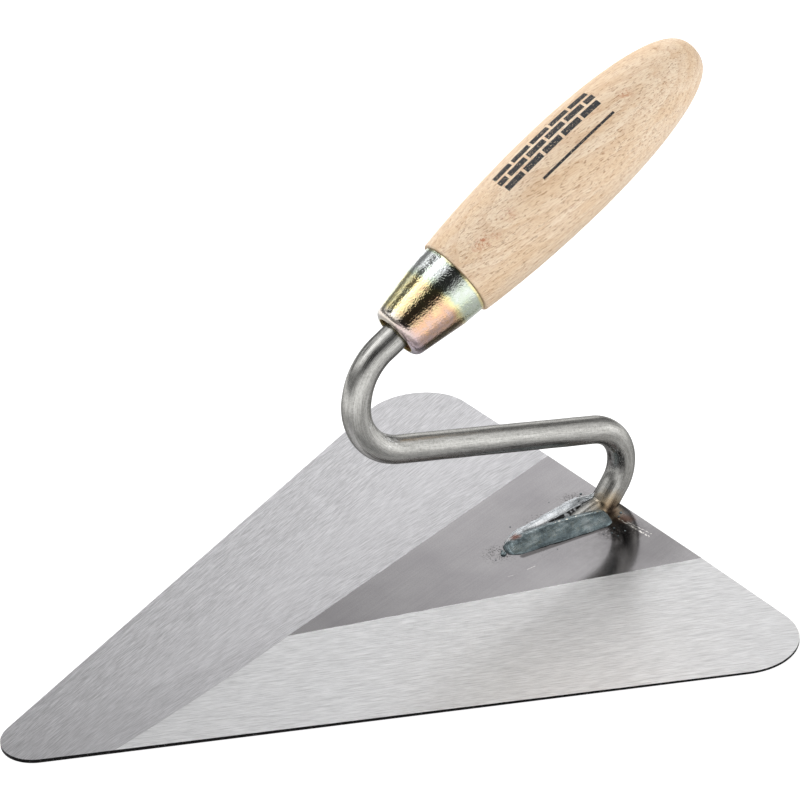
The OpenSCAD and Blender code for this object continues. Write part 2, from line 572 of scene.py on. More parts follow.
def add_to_frame(piece: bpy.types.Object, slot: str, *nodes: str) -> None:
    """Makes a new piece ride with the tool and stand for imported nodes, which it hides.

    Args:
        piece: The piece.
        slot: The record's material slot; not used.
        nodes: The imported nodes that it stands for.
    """
    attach(piece, BODY)
    if nodes:
        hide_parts(*nodes)
    log.info("%s: %d faces", piece.name, len(piece.data.polygons))


# --- blade


@dataclass(frozen=True)
class BladeSteel(Finish):
    """Rolled sheet with two belt-ground bands, sooty round the weld, with painted shade towards the point and
    a painted shadow along the right bead. Places are x and y on its face.
    """

    left_band: Colour = shade(235, 234, 237)
    right_band: Colour = shade(253, 253, 254)
    left_dark: float = 0.56
    right_dark: float = 0.64
    rolled: Colour = shade(138, 135, 138)
    rolled_pale: Colour = shade(158, 156, 157)
    sheared: Colour = shade(38, 37, 38)
    soot: Colour = shade(38, 33, 31)
    rust: Colour = shade(112, 72, 50)
    scratched: Colour = shade(236, 232, 228)
    left_angles: Pair = (-23.5, -14)
    right_angle: float = 26
    rolled_angle: float = -17
    # The belt's coarse and fine lines: width, length and share.
    belt: Sequence[Triple] = ((0.34, 7.0, 0.48), (0.18, 4.5, 0.52))
    belt_contrast: Pair = (0.36, 0.64)
    # The left belt turns from its first angle to its second across these values of x + inner_lean * y.
    inner_lean: float = 0.4
    inner_span: Pair = (-45, 0)
    # Painted shade: the whole sheet darkens towards the point across the first span, and the rolled face
    # darkens more towards the sheared colour, forwards across the second span.
    point_share: float = 0.85
    point_span: Pair = (-190, 10)
    wear_and_shade: float = 0.3
    nose_shade_span: Pair = (-15, 75)
    stray: float = 0.5
    seam_soft: float = 0.15
    # Roughness of the rolled face, then what the grinding, the clouds and the sheared edge add.
    polish: float = 0.09
    ground: float = 0.2
    clouded: float = 0.05
    cut: float = 0.3
    relief: float = 0.02
    rolled_relief: float = 0.12
    # Soot haze under the specks: centre, radius, stray edge and strength.
    haze: Sequence[Patch] = (
        ((1, 86), 30, 12, 0.1),
        ((27, 101), 25, 10, 0.3),
    )
    # Patches of soot specks: centre, radius and cover.
    dust: Sequence[tuple[Pair, float, float]] = (
        ((16, 100.5), 9, 0.8),
        ((3, 63), 7, 0.45),
        ((-8, 100), 7, 0.5),
        ((-6, 84), 6, 0.35),
        ((9, 74), 4, 0.3),
    )
    burn: Patch = ((12.5, 102.5), 5, 5, 0.8)
    rusted: Patch = ((11.5, 106), 4, 3, 0.6)
    # A painted shadow along the lower edge of the right bead, in the soot colour: start, end and width.
    toe: Line = ((11.7, 98), (9.0, 68), 1.4)
    # Scratches: start, end, width and strength.
    scratches: Sequence[tuple[Pair, Pair, float, float]] = (
        ((10, 104.1), (25, 105.1), 0.45, 0.85),
        ((13, 105), (24, 106.6), 0.3, 0.6),
        ((16.4, 64), (16.3, 67.5), 0.2, 0.4),
        ((16, 57.5), (16.6, 61), 0.16, 0.3),
    )

    def build(self, sizes: Blade) -> bpy.types.Material:
        """Makes the material.

        Args:
            sizes: The blade whose panel and bands it follows.

        Returns:
            The material.
        """
        material, graph, shader = self.start("blade_steel", Metallic=1.0)
        place = graph.millimetres()
        x, y, _ = graph.split(place)
        up = graph.split(graph.node("NewGeometry").outputs["Normal"])[2]
        top = graph.span(up, 0.5, 0.8)
        under = graph.span(up, -0.5, -0.8)
        left, right = (graph.times(band, top) for band in self._bands(graph, sizes, place, x, y))

        inward = graph.span(graph.plus(x, graph.times(y, self.inner_lean)), *self.inner_span)
        outer, inner = (self._brush(graph, place, angle) for angle in self.left_angles)
        brushed_left = graph.mix(inward, outer, inner)
        brushed_right = self._brush(graph, place, self.right_angle)
        rolled = self._rolled(graph, place, y)

        pale = graph.mix(brushed_left, self._darker(self.left_band, self.left_dark), self.left_band)
        colour = graph.mix(left, rolled, pale)
        pale = graph.mix(brushed_right, self._darker(self.right_band, self.right_dark), self.right_band)
        colour = graph.mix(right, colour, pale)
        # Painted shade: the sheet's colour is darkened towards the point.
        kept = graph.span(y, *self.point_span, self.point_share, 1)
        colour = graph.mix(1.0, colour, graph.join(kept, kept, kept), "MULTIPLY")
        bare = graph.plus(left, right, clamp=True)
        colour = self._soot_and_shadow(graph, sizes, place, colour, top, bare)
        side = graph.minus(1, graph.plus(top, under, clamp=True))
        burr = graph.group(self.effects.specks, vector=place, size=0.5, cover=0.2)
        colour = graph.mix(side, colour, graph.mix(burr, self.sheared, self.rolled))
        graph.feed(shader.inputs["Base Color"], colour)

        clouds = graph.noise(place, 0.08)
        rough = graph.blend((bare, self.ground), (clouds, self.clouded), (side, self.cut))
        graph.feed(shader.inputs["Roughness"], graph.plus(rough, self.polish))
        grain = graph.mix(right, graph.mix(left, rolled, brushed_left), brushed_right)
        depth = graph.plus(graph.times(bare, 1 - self.rolled_relief), self.rolled_relief)
        graph.feed(shader.inputs["Normal"], graph.bump(graph.times(grain, depth), self.relief))
        return material

    @staticmethod
    def _darker(colour: Colour, share: float) -> Colour:
        """Scales a colour's light."""
        return colour[0] * share, colour[1] * share, colour[2] * share, 1.0

    def _bands(
        self, graph: Graph, sizes: Blade, place: Socket, x: Socket, y: Socket
    ) -> tuple[Socket, Socket]:
        """Gives the masks of the left and right bands, whose borders meet the panel's nose.

        Args:
            graph: The material's graph.
            sizes: The blade, for its panel lines.
            place: The place on the object, in millimetres.
            x: The x of the place.
            y: The y of the place.

        Returns:
            The left mask and the right one.
        """
        back = graph.minus(y, sizes.nose[1])
        ahead = graph.math("MINIMUM", back, 0)
        bow = graph.times(graph.times(ahead, ahead), sizes.seam_bow)
        stray = graph.times(graph.minus(graph.noise(place, 0.35, 2), 0.5), self.stray)

        def border(rear_x: float) -> Socket:
            """Gives x on a panel line, carried on past the nose."""
            slope = (rear_x - sizes.nose[0]) / (sizes.rear_y - sizes.nose[1])
            return graph.plus(graph.times(back, slope), sizes.nose[0])

        soft = self.seam_soft
        off_left = graph.plus(graph.minus(x, graph.minus(border(-sizes.panel_left), bow)), stray)
        left = graph.span(off_left, -soft, soft, 1, 0)
        off_right = graph.plus(graph.minus(x, border(sizes.panel_right)), stray)
        right = graph.times(graph.span(off_right, -soft, soft), graph.minus(1, left))
        return left, right

    def _brush(self, graph: Graph, place: Socket, degrees: float) -> Socket:
        """Gives belt lines at an angle clockwise from +Y, seen from above.

        Args:
            graph: The material's graph.
            place: The place on the object, in millimetres.
            degrees: The angle.

        Returns:
            The lines, from 0 to 1.
        """
        angle = math.radians(degrees)
        parts = [
            (graph.group(self.effects.lines, vector=place, angle=angle, width=width, length=length), share)
            for width, length, share in self.belt
        ]
        return graph.span(graph.blend(*parts), *self.belt_contrast)

    def _rolled(self, graph: Graph, place: Socket, y: Socket) -> Socket:
        """Gives the mill surface of the sheet: faint lines over cloudy tones and fine grit, and painted shade
        that darkens it towards the point.

        Args:
            graph: The material's graph.
            place: The place on the object, in millimetres.
            y: The y of the place.

        Returns:
            Its colour.
        """
        angle = math.radians(self.rolled_angle)
        lines = graph.group(self.effects.lines, vector=place, angle=angle, width=0.5, length=30.0)
        clouds = graph.noise(place, 0.05, 3)
        grit = graph.noise(place, 2.2, 2)
        tone = graph.blend((lines, 0.25), (clouds, 0.45), (grit, 0.3))
        colour = graph.mix(graph.span(tone, 0.3, 0.7), self.rolled, self.rolled_pale)
        # Painted shade: the rolled face is mixed towards the sheared colour near the point.
        return graph.mix(graph.span(y, *self.nose_shade_span, self.wear_and_shade, 0), colour, self.sheared)

    def _soot_and_shadow(
        self, graph: Graph, sizes: Blade, place: Socket, colour: Socket, top: Socket, bare: Socket
    ) -> Socket:
        """Adds the soot, rust and scratches round the weld and a painted shadow along the right bead, on top
        of the sheet only.

        Args:
            graph: The material's graph.
            sizes: The blade, for its face's height.
            place: The place on the object, in millimetres.
            colour: The colour so far.
            top: The mask of the sheet's upper side.
            bare: The mask of both ground bands.

        Returns:
            The colour with the marks on it.
        """

        def patch(centre: Pair, radius: float, ragged: float) -> Socket:
            """Gives a ragged patch on the top face."""
            at = (*centre, sizes.face_z)
            mask = graph.group(self.effects.patch, vector=place, centre=at, radius=radius, ragged=ragged)
            return graph.times(mask, top)

        def stroke(start: Pair, end: Pair, width: float) -> Socket:
            """Gives one stroke on the face."""
            ends = {"start": (*start, sizes.face_z), "end": (*end, sizes.face_z)}
            return graph.group(self.effects.stroke, vector=place, width=width, **ends)

        for *shape, strength in self.haze:
            colour = graph.stain(colour, self.soot, patch(*shape), strength)
        for centre, radius, cover in self.dust:
            specks = graph.group(self.effects.specks, vector=place, size=0.55, cover=cover)
            colour = graph.stain(colour, self.soot, graph.times(specks, patch(centre, radius, 5)), 0.85)
        for tint, (*shape, strength) in ((self.soot, self.burn), (self.rust, self.rusted)):
            colour = graph.stain(colour, tint, patch(*shape), strength)
        # Painted shadow along the lower edge of the right bead.
        colour = graph.stain(colour, self.soot, stroke(*self.toe), 0.7)
        wide = graph.group(self.effects.specks, vector=place, size=0.3, cover=0.12)
        wide = graph.times(graph.times(wide, patch((0, 84), 34, 10)), graph.minus(1, bare))
        colour = graph.stain(colour, self.soot, wide, 0.6)
        for *shape, strength in self.scratches:
            broken = graph.span(graph.noise(place, 1.3, 3), 0.44, 0.52, 0, strength)
            mark = graph.times(graph.times(stroke(*shape), broken), top)
            colour = graph.mix(mark, colour, self.scratched)
        return colour


@dataclass
class Blade:
    """The sheet, whose panel and bands the finish follows."""

    panel_len: float = 123.5
    panel_left: float = 37.5
    panel_right: float = 45.7
    panel_point: float = 1.1
    seam_bow: float = 0.00064
    rear_y: float = field(init=False)
    face_z: float = field(init=False)
    nose: Pair = field(init=False)

    def __post_init__(self) -> None:
        """Reads the sheet's place from the frame."""
        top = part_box("blade")[1] / MM
        self.rear_y = top.y
        self.face_z = top.z
        self.nose = (self.panel_point, self.rear_y - self.panel_len)

    def dress(self, frame: dict, effects: Effects) -> None:
        """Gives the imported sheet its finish.

        Args:
            effects: The shared node groups.
        """
        sheet = frame["nodes"]["blade"]
        wear(sheet, BladeSteel(effects).build(self))
        log.info("blade: packed sheet, rear edge at %.1f mm", self.rear_y)


# --- neck


@dataclass(frozen=True)
class BarSteel(Finish):
    """Drawn bar under a thin dull scale, streaked lengthwise, scuffed in its bends, tinted by the weld."""

    scale: Colour = shade(186, 185, 181)
    pale: Colour = shade(222, 221, 217)
    dark: Colour = shade(134, 133, 130)
    scuffed: Colour = shade(232, 232, 230)
    straw: Colour = shade(206, 178, 132)
    brown: Colour = shade(104, 74, 52)
    soot: Colour = shade(36, 33, 32)
    # Roughness: the least, what the streaks add and what rubbing takes away.
    polish: float = 0.17
    streaked: float = 0.18
    rubbed_off: float = 0.12
    relief: float = 0.07

    def build(self, sizes: Neck) -> bpy.types.Material:
        """Makes the material for a bar whose straightened coordinates are in its mesh.

        Args:
            sizes: The bar, for its rubbed places and its heat tint.

        Returns:
            The material.
        """
        edge_tint = (0.45, 0.45, 0.45, 1.0)
        material, graph, shader = self.start("neck_steel", Metallic=1.0, Specular_Tint=edge_tint)
        place = graph.millimetres()
        bar = self._lengthwise(graph, graph.node("Attribute", attribute_name=Neck.STRAIGHT).outputs["Vector"])
        streaks, broad, scuffs = (
            graph.group(self.effects.lines, vector=bar, angle=0.0, width=width, length=length)
            for width, length in ((0.3, 6.0), (2.4, 40.0), (0.8, 3.2))
        )
        clouds = graph.noise(place, 1.3, 5, 0.65)
        tone = graph.blend((streaks, 0.4), (broad, 0.3), (clouds, 0.3))
        colour = graph.ramp(tone, [(0.34, self.dark), (0.5, self.scale), (0.66, self.pale)])

        def patch(centre: Triple, radius: float, ragged: float) -> Socket:
            """Gives a ragged patch on the bar."""
            return graph.group(self.effects.patch, vector=place, centre=centre, radius=radius, ragged=ragged)

        scuffs = graph.span(scuffs, 0.52, 0.62)
        rubbed = None
        for centre, radius in sizes.rubbed:
            near = graph.times(patch(centre, radius, 3.0), scuffs)
            rubbed = near if rubbed is None else graph.math("MAXIMUM", rubbed, near)
        colour = graph.mix(rubbed, colour, self.scuffed)
        nicks = graph.group(self.effects.specks, vector=place, size=0.45, cover=0.1)
        colour = graph.stain(colour, self.scuffed, nicks, 0.6)
        for tint, radius, strength in (
            (self.straw, 7.5, 0.65),
            (self.brown, 4.2, 0.55),
            (self.soot, 2.2, 0.8),
        ):
            colour = graph.stain(colour, tint, patch(sizes.heel, radius, 4.0), strength)
        graph.feed(shader.inputs["Base Color"], colour)

        rough = graph.blend((streaks, self.streaked), (rubbed, -self.rubbed_off))
        graph.feed(shader.inputs["Roughness"], graph.plus(rough, self.polish))
        height = graph.blend((tone, 0.7), (rubbed, -0.6))
        graph.feed(shader.inputs["Normal"], graph.bump(height, self.relief))
        return material

    @staticmethod
    def _lengthwise(graph: Graph, bar: Socket) -> Socket:
        """Swaps the bar's coordinates so that Y runs along it."""
        across, around, along = graph.split(bar)
        return graph.join(across, along, around)


@dataclass
class Neck:
    """The bent round bar, from its foot in the weld to the tang's point inside the handle."""

    STRAIGHT = "bar_straightened"

    bar_d: float = 9.0
    foot_slope: float = 16.4
    foot_sink: float = 0.95
    heel_bend_r: float = 7.0
    heel_slope: float = 51.0
    heel_len: float = 6.3
    heel_past: float = 0.8
    rear_bend_r: float = 14.0
    reach: float = 74.0
    reach_fall: float = 15.4
    lower_bend_r: float = 18.1
    upper_bend_r: float = 19.9
    rise: float = 1.0
    rise_slope: float = 74.0
    handle_slope: float = 27.5
    throat: float = 5.6
    tang_len: float = 82.0
    tang_point: float = 8.0
    tang_end_d: float = 3.0
    sides: int = 64
    buried: float = 0.4
    flattened: float = 0.035
    unevenness: float = 0.05
    # Where the bending tools rubbed the bar bright: centre and radius.
    rubbed: Sequence[tuple[Triple, float]] = (
        ((2.5, 108, 20), 7),
        ((2.5, 28, 57.5), 6),
        ((3.2, 22, 64), 3.5),
    )
    # The middle of the heat tint, in the wedge between the beads.
    heel: Triple = (3.6, 105.0, 2.6)

    def path(self, blade: Blade) -> list[tuple[float, Vector, float, float]]:
        """Follows the middle of the bar.

        Args:
            blade: The sheet that the foot stands on.

        Returns:
            For each station the length so far, the place in the plane of Y and Z, the heading in degrees and
            how strongly the bar is bent there, from -1 to 1 by the way it bends.
        """
        bar_r = self.bar_d / 2
        turn = self.heel_slope - self.foot_slope
        flank = self._after(Vector((0, 0)), self.foot_slope, self.heel_bend_r, turn)
        flank -= bar_r * self._left(self.heel_slope)
        run = (self.foot_sink - flank.y) / math.tan(math.radians(self.heel_slope))
        start = Vector((blade.rear_y + self.heel_past - flank.x - run, blade.face_z - self.foot_sink))
        foot_len = (bar_r * turned(self.foot_slope)[0] - self.foot_sink) / turned(self.foot_slope)[1] + 4
        start -= foot_len * Vector(turned(self.foot_slope))
        stretches = [
            (foot_len, 0, 0),
            (0, self.heel_bend_r, turn),
            (self.heel_len, 0, 0),
            (0, self.rear_bend_r, 180 - self.reach_fall - self.heel_slope),
            (self.reach, 0, 0),
            (0, self.lower_bend_r, self.rise_slope - 180 + self.reach_fall),
            (self.rise, 0, 0),
            (0, self.upper_bend_r, self.handle_slope - self.rise_slope),
            (self.throat + self.tang_len - self.tang_point, 0, 0),
        ]
        stations = [(0.0, start, self.foot_slope, 0.0)]
        for straight, radius, bend in stretches:
            length, place, heading, _ = stations[-1]
            steps = max(2, round(straight / 2)) if straight else max(6, round(abs(bend) / 3))
            for i in range(1, steps + 1):
                share = i / steps
                if straight:
                    there = place + straight * share * Vector(turned(heading))
                    stations.append((length + straight * share, there, heading, 0.0))
                else:
                    there = self._after(place, heading, radius, bend * share)
                    gone = length + math.radians(abs(bend)) * radius * share
                    strength = math.sin(math.pi * share)
                    stations.append((gone, there, heading + bend * share, math.copysign(strength, bend)))
        return stations

    @staticmethod
    def _left(heading: float) -> Vector:
        """Gives the direction to the left of a heading."""
        along = turned(heading)
        return Vector((-along[1], along[0]))

    @classmethod
    def _after(cls, place: Vector, heading: float, radius: float, bend: float) -> Vector:
        """Gives the end of a bend that starts at a place and heading."""
        return place + math.copysign(radius, bend) * (cls._left(heading) - cls._left(heading + bend))

    def build(self, blade: Blade, effects: Effects) -> bpy.types.Object:
        """Sweeps the bar, cuts its foot off inside the sheet and dresses it.

        Args:
            blade: The sheet that the foot stands on.
            effects: The shared node groups.

        Returns:
            The bar.
        """
        stations = self.path(blade)
        last_len, last, heading, _ = stations[-1]
        ahead = Vector(turned(heading))
        stations.append((last_len + self.tang_point, last + self.tang_point * ahead, heading, 0.0))
        rings, rests = [], []
        for number, (length, middle, heading, bent) in enumerate(stations):
            at_end = number == len(stations) - 1
            radius = self.tang_end_d / 2 if at_end else self.bar_d / 2
            ring, rest = self._ring(length, middle, heading, bent, radius)
            rings.append(ring)
            rests.extend(rest)
        piece = loft("neck_bar", rings)
        marks = piece.data.attributes.new(self.STRAIGHT, "FLOAT_VECTOR", "POINT")
        marks.data.foreach_set("vector", [number for rest in rests for number in rest])
        self._cut_foot(piece, blade)
        smooth(piece)
        wear(piece, BarSteel(effects).build(self))
        add_to_frame(piece, "neck_steel", "neck")
        return piece

    def _ring(
        self, length: float, middle: Vector, heading: float, bent: float, radius: float
    ) -> tuple[list[Vector], list[Triple]]:
        """Gives one ring of the bar and its straightened coordinates.

        The inside of a bend is a little flattened, and the skin is slightly uneven.

        Args:
            length: How far along the bar it lies.
            middle: Its middle, as Y and Z.
            heading: Where the bar heads there, in degrees.
            bent: How strongly it is bent there, from -1 to 1.
            radius: The bar's radius there.

        Returns:
            Its points, and for each the place on the bar if it were straight.
        """
        out = self._left(heading)
        ring, rest = [], []
        for i in range(self.sides):
            x, up = turned(360 * i / self.sides)
            inside = max(0.0, up * math.copysign(1, bent)) if bent else 0.0
            uneven = noise.noise(Vector((x * 1.3, up * 1.3, length * 0.16))) * self.unevenness
            r = radius * (1 - self.flattened * abs(bent) * inside**3)
            r += 0 if radius == self.tang_end_d / 2 else uneven
            ring.append(Vector((r * x, middle.x + r * up * out.x, middle.y + r * up * out.y)))
            rest.append((radius * x, radius * up, length))
        return ring, rest

    def _cut_foot(self, piece: bpy.types.Object, blade: Blade) -> None:
        """Grinds the foot flat, a little under the sheet's face.

        Args:
            piece: The swept bar.
            blade: The sheet that the foot stands on.
        """
        mesh = bmesh.new()
        mesh.from_mesh(piece.data)
        level = Vector((0, 0, (blade.face_z - self.buried) * MM))
        everything = mesh.verts[:] + mesh.edges[:] + mesh.faces[:]
        cut = bmesh.ops.bisect_plane(
            mesh, geom=everything, plane_co=level, plane_no=Vector((0, 0, -1)), clear_outer=True
        )
        edges = [item for item in cut["geom_cut"] if isinstance(item, bmesh.types.BMEdge)]
        bmesh.ops.contextual_create(mesh, geom=edges)
        mesh.to_mesh(piece.data)
        mesh.free()


# --- weld


@dataclass(frozen=True)
class WeldMetal(Finish):
    """Laid weld metal under a thin blue-grey skin, with painted glints along its crest."""

    skin: Colour = shade(124, 138, 142)
    deep: Colour = shade(86, 98, 102)
    bright: Colour = shade(186, 196, 198)
    crater: Colour = shade(150, 92, 72)
    glint: Colour = shade(250, 246, 232)
    # This silver tints the painted highlight along the far bead's crest.
    lit_silver: Colour = shade(240, 245, 250)
    soot: Colour = shade(34, 33, 34)
    metal: float = 0.8
    streaky: float = 0.35
    relief: float = 0.12
    # How strong the painted highlight along the crest is; a bead with none has no painted shade in its groove
    # either.
    ridge_highlight: float = 0.0
    # The crater that ends the bead and the soot at its start: centre and radius.
    crater_spot: tuple[Triple, float] = ((0.8, 70.6, 4.4), 2.8)
    soot_spot: tuple[Triple, float] = ((5.5, 102.5, 3.6), 2.4)
    # Lines along the beads, for the painted glints, the painted highlight along the crest and the painted
    # shade in the groove: start, end and width.
    glint_line: tuple[Triple, Triple, float] = (
        (6.0, 101.8, 4.3),
        (3.4, 84.5, 5.3),
        0.5,
    )
    ridge_line: Line = ((-4.9, 98.5), (-1.5, 71.0), 1.5)
    groove_shade_line: Line = ((-1.6, 99.0), (0.7, 74.0), 1.3)

    def build(self, name: str) -> bpy.types.Material:
        """Makes the material.

        Args:
            name: The material's name.

        Returns:
            The material.
        """
        material, graph, shader = self.start(name, Metallic=self.metal)
        place = graph.millimetres()
        streaks = graph.group(self.effects.lines, vector=place, angle=-0.12, width=0.9, length=9.0)
        clouds = graph.noise(place, 0.22, 5, 0.6)
        tone = graph.mix(self.streaky, clouds, streaks)
        colour = graph.ramp(tone, [(0.36, self.deep), (0.5, self.skin), (0.68, self.bright)])
        pits = graph.group(self.effects.specks, vector=place, size=0.5, cover=0.1)
        colour = graph.stain(colour, self.soot, pits, 0.7)
        for tint, (centre, radius) in ((self.crater, self.crater_spot), (self.soot, self.soot_spot)):
            near = graph.group(self.effects.patch, vector=place, centre=centre, radius=radius, ragged=1.6)
            colour = graph.stain(colour, tint, near, 0.85)
        # Painted glints: bright dashes along the near bead's crest.
        start, end, width = self.glint_line
        crest = graph.group(self.effects.stroke, vector=place, start=start, end=end, width=width)
        dashes = graph.span(graph.noise(place, 1.0, 2), 0.52, 0.58)
        colour = graph.stain(colour, self.glint, crest, dashes)
        # Painted highlight along the crest and painted shade in the groove, on the far bead only.
        if self.ridge_highlight:
            colour = self._ridge_highlight_and_groove_shade(graph, place, colour)
        graph.feed(shader.inputs["Base Color"], colour)
        graph.feed(shader.inputs["Roughness"], graph.plus(graph.times(clouds, 0.24), 0.14))
        graph.feed(shader.inputs["Normal"], graph.bump(graph.noise(place, 0.9, 5, 0.6), self.relief))
        return material

    def _ridge_highlight_and_groove_shade(self, graph: Graph, place: Socket, colour: Socket) -> Socket:
        """Adds a painted highlight along the crest of the outer face, and painted shade in the soot colour in
        the groove beside the foot.

        Args:
            graph: The material's graph.
            place: The place on the object, in millimetres.
            colour: The colour so far.

        Returns:
            The colour with both lines on it.
        """
        flat = graph.vector("MULTIPLY", place, (1.0, 1.0, 0.0)).outputs[0]
        for (start, end, width), tint, strength in (
            (self.ridge_line, self.lit_silver, self.ridge_highlight),
            (self.groove_shade_line, self.soot, 1.0),
        ):
            ends = {"start": (*start, 0.0), "end": (*end, 0.0)}
            line = graph.group(self.effects.stroke, vector=flat, width=width, **ends)
            uneven = graph.span(graph.noise(place, 0.6, 4, 0.6), 0.34, 0.5, 0.35, strength)
            colour = graph.stain(colour, tint, line, uneven)
        return colour


class Side(Enum):
    """Which side of the foot a bead lies on."""

    LEFT = -1
    RIGHT = 1


@dataclass
class Bead:
    """One fillet. Each station is y, the toe's x, the crest's x and height, and the root's x."""

    side: Side
    stations: Sequence[Station]
    fullness: float = 0.85
    ripple: float = 0.07
    groove: float = 0.0
    step: float = 0.3
    points: int = 26
    end_rings: int = 5
    end_width: float = 0.35
    buried: float = 0.5
    ripple_gap: float = 1.7
    # The lumps and the fine unevenness of the skin: height, and how closely they follow each other.
    lumps: tuple[float, Triple] = (0.32, (0.35, 0.3, 0.35))
    fine: tuple[float, Triple] = (0.07, (1.4, 1.1, 1.4))

    def build(self, blade: Blade, material: bpy.types.Material) -> bpy.types.Object:
        """Lofts the bead from its stations.

        Args:
            blade: The sheet that it lies on.
            material: Its finish.

        Returns:
            The bead.
        """
        run = abs(self.stations[0][0] - self.stations[-1][0])
        count = round(run / self.step)
        rings = []
        for i in range(count + 1):
            place = (len(self.stations) - 1) * i / count
            y, toe, crest_x, crest_z, root = through(self.stations, place)
            ends = min(1.0, math.sqrt(max(0.02, min(i, count - i) / self.end_rings)))
            height = blade.face_z + (crest_z - blade.face_z) * ends
            middle = (toe + root) / 2
            share = self.end_width + (1 - self.end_width) * ends
            toe, root, crest_x = (middle + (value - middle) * share for value in (toe, root, crest_x))
            rings.append(self._ring(y, toe, crest_x, height, root, blade.face_z))
        side = self.side.name.lower()
        piece = loft(f"bead_{side}", rings)
        smooth(piece, 60)
        wear(piece, material)
        add_to_frame(piece, "weld_metal", f"weld_bead_{side}")
        return piece

    def _ring(
        self, y: float, toe: float, crest_x: float, crest_z: float, root: float, face: float
    ) -> list[Vector]:
        """Gives one section: up the outer face, over the crest, down to the root and back under.

        Args:
            y: Where it lies.
            toe: The x of the outer edge.
            crest_x: The x of the crest.
            crest_z: The height of the crest.
            root: The x of the inner edge.
            face: The height of the sheet's face.

        Returns:
            The section's points, in order.
        """
        low = face - self.buried
        high = crest_z - low
        controls = [
            (toe, low),
            (toe + (crest_x - toe) * 0.12, low + high * 0.34 * self.fullness),
            (toe + (crest_x - toe) * 0.45, low + high * 0.66 * self.fullness),
            (toe + (crest_x - toe) * 0.8, low + high * 0.93),
            (crest_x, crest_z),
            (crest_x + (root - crest_x) * 0.34, low + high * (0.86 - self.groove)),
            (crest_x + (root - crest_x) * 0.66, low + high * 0.66),
            (root, low),
        ]
        ring = []
        for i in range(self.points):
            x, z = through(controls, (len(controls) - 1) * i / (self.points - 1))
            lift = max(0.0, (z - low) / max(high, 0.1))
            out = math.sin(2 * math.pi * (y + 0.5 * abs(x - crest_x)) / self.ripple_gap) * self.ripple
            for size, (a, b, c) in (self.lumps, self.fine):
                out += noise.noise(Vector((x * a, y * b, z * c))) * size
            out *= lift
            ring.append(Vector((x + out * 0.4 * self.side.value, y, z + out)))
        return ring


@dataclass
class Weld:
    """The two beads that hold the foot, with the spatter round them."""

    right: Sequence[Station] = (
        (102.4, 10.2, 5.8, 4.0, 2.0),
        (99.0, 11.6, 5.5, 4.4, 1.2),
        (95.0, 11.3, 4.9, 4.7, 0.6),
        (91.0, 10.8, 4.4, 4.9, 0.0),
        (87.0, 10.3, 3.9, 5.1, -0.6),
        (83.0, 9.7, 3.4, 5.2, -1.0),
        (79.0, 9.0, 3.0, 5.0, -1.4),
        (75.0, 8.6, 2.8, 4.8, -1.8),
        (71.0, 8.5, 2.6, 4.4, -1.8),
        (68.0, 8.0, 2.8, 3.9, -1.0),
        (65.4, 6.4, 3.2, 3.0, 0.4),
    )
    left: Sequence[Station] = (
        (106.0, -3.4, -1.0, 6.6, 0.9),
        (103.0, -4.4, -1.4, 6.2, 0.6),
        (100.5, -6.2, -2.6, 5.8, 0.3),
        (98.0, -7.4, -3.8, 5.4, 0.0),
        (95.0, -7.8, -4.2, 5.0, -0.2),
        (92.0, -7.4, -3.6, 4.9, 0.2),
        (89.0, -7.0, -3.4, 4.6, 0.4),
        (86.0, -6.2, -2.8, 4.8, 0.6),
        (83.0, -5.8, -2.2, 4.5, 0.9),
        (80.0, -5.2, -1.6, 4.8, 1.4),
        (77.0, -4.7, -1.0, 4.5, 1.8),
        (74.0, -4.3, -1.1, 4.5, 2.4),
        (71.5, -3.6, -0.5, 4.2, 3.0),
        (69.0, -2.4, 0.6, 3.6, 3.2),
        (67.2, -1.2, 1.2, 2.6, 3.0),
    )
    spatter: Sequence[Triple] = (
        (4.2, 63.9, 0.85),
        (2.4, 64.6, 0.36),
        (-10.3, 103.9, 0.36),
        (-9.4, 102.7, 0.24),
        (-8.1, 74.8, 0.21),
        (0.3, 61.4, 0.18),
        (5.5, 60.1, 0.21),
        (15.7, 97.4, 0.27),
        (18.4, 97.8, 0.21),
        (17.3, 101.3, 0.24),
        (13.8, 99.6, 0.3),
        (14.6, 94.9, 0.18),
        (7.4, 106.8, 0.42),
        (9.0, 104.9, 0.33),
        (-12.6, 93.0, 0.15),
        (12.5, 78.6, 0.18),
    )

    def build(self, blade: Blade, effects: Effects) -> None:
        """Makes both beads and the spatter.

        Args:
            blade: The sheet that they lie on.
            effects: The shared node groups.
        """
        near = WeldMetal(effects).build("weld_metal_right")
        # Painted light: the far bead is given a lighter, silvery copy of the near bead's weld metal, standing
        # in for the light that falls on its flank.
        lit_silver = {"skin": shade(226, 230, 233), "deep": shade(84, 92, 98), "bright": shade(252, 252, 253)}
        far = WeldMetal(effects, metal=0.72, streaky=0.7, ridge_highlight=0.9, **lit_silver).build("weld_metal_left")
        Bead(Side.RIGHT, self.right, fullness=0.95, ripple=0.03).build(blade, near)
        Bead(Side.LEFT, self.left, fullness=1.15, ripple=0.045, groove=0.3).build(blade, far)
        self._drops(blade, near)

    def _drops(self, blade: Blade, material: bpy.types.Material) -> None:
        """Makes the drops of spatter as one piece, each squat and uneven.

        Args:
            blade: The sheet that they lie on.
            material: Their finish.
        """
        mesh = bmesh.new()
        for x, y, radius in self.spatter:
            place = Matrix.Translation(Vector((x, y, blade.face_z + radius * 0.25)) * MM)
            squat = Matrix.Diagonal((1.0, 1.15, 0.75, 1.0))
            made = bmesh.ops.create_icosphere(mesh, subdivisions=3, radius=radius * MM, matrix=place @ squat)
            for vertex in made["verts"]:
                off = noise.noise(vertex.co / MM * 1.5) * 0.22 * radius * MM
                vertex.co += vertex.normal * off
        data = bpy.data.meshes.new("weld_spatter")
        mesh.to_mesh(data)
        mesh.free()
        piece = bpy.data.objects.new("weld_spatter", data)
        bpy.context.scene.collection.objects.link(piece)
        smooth(piece, 80)
        wear(piece, material)
        add_to_frame(piece, "weld_metal")


# --- handle axis


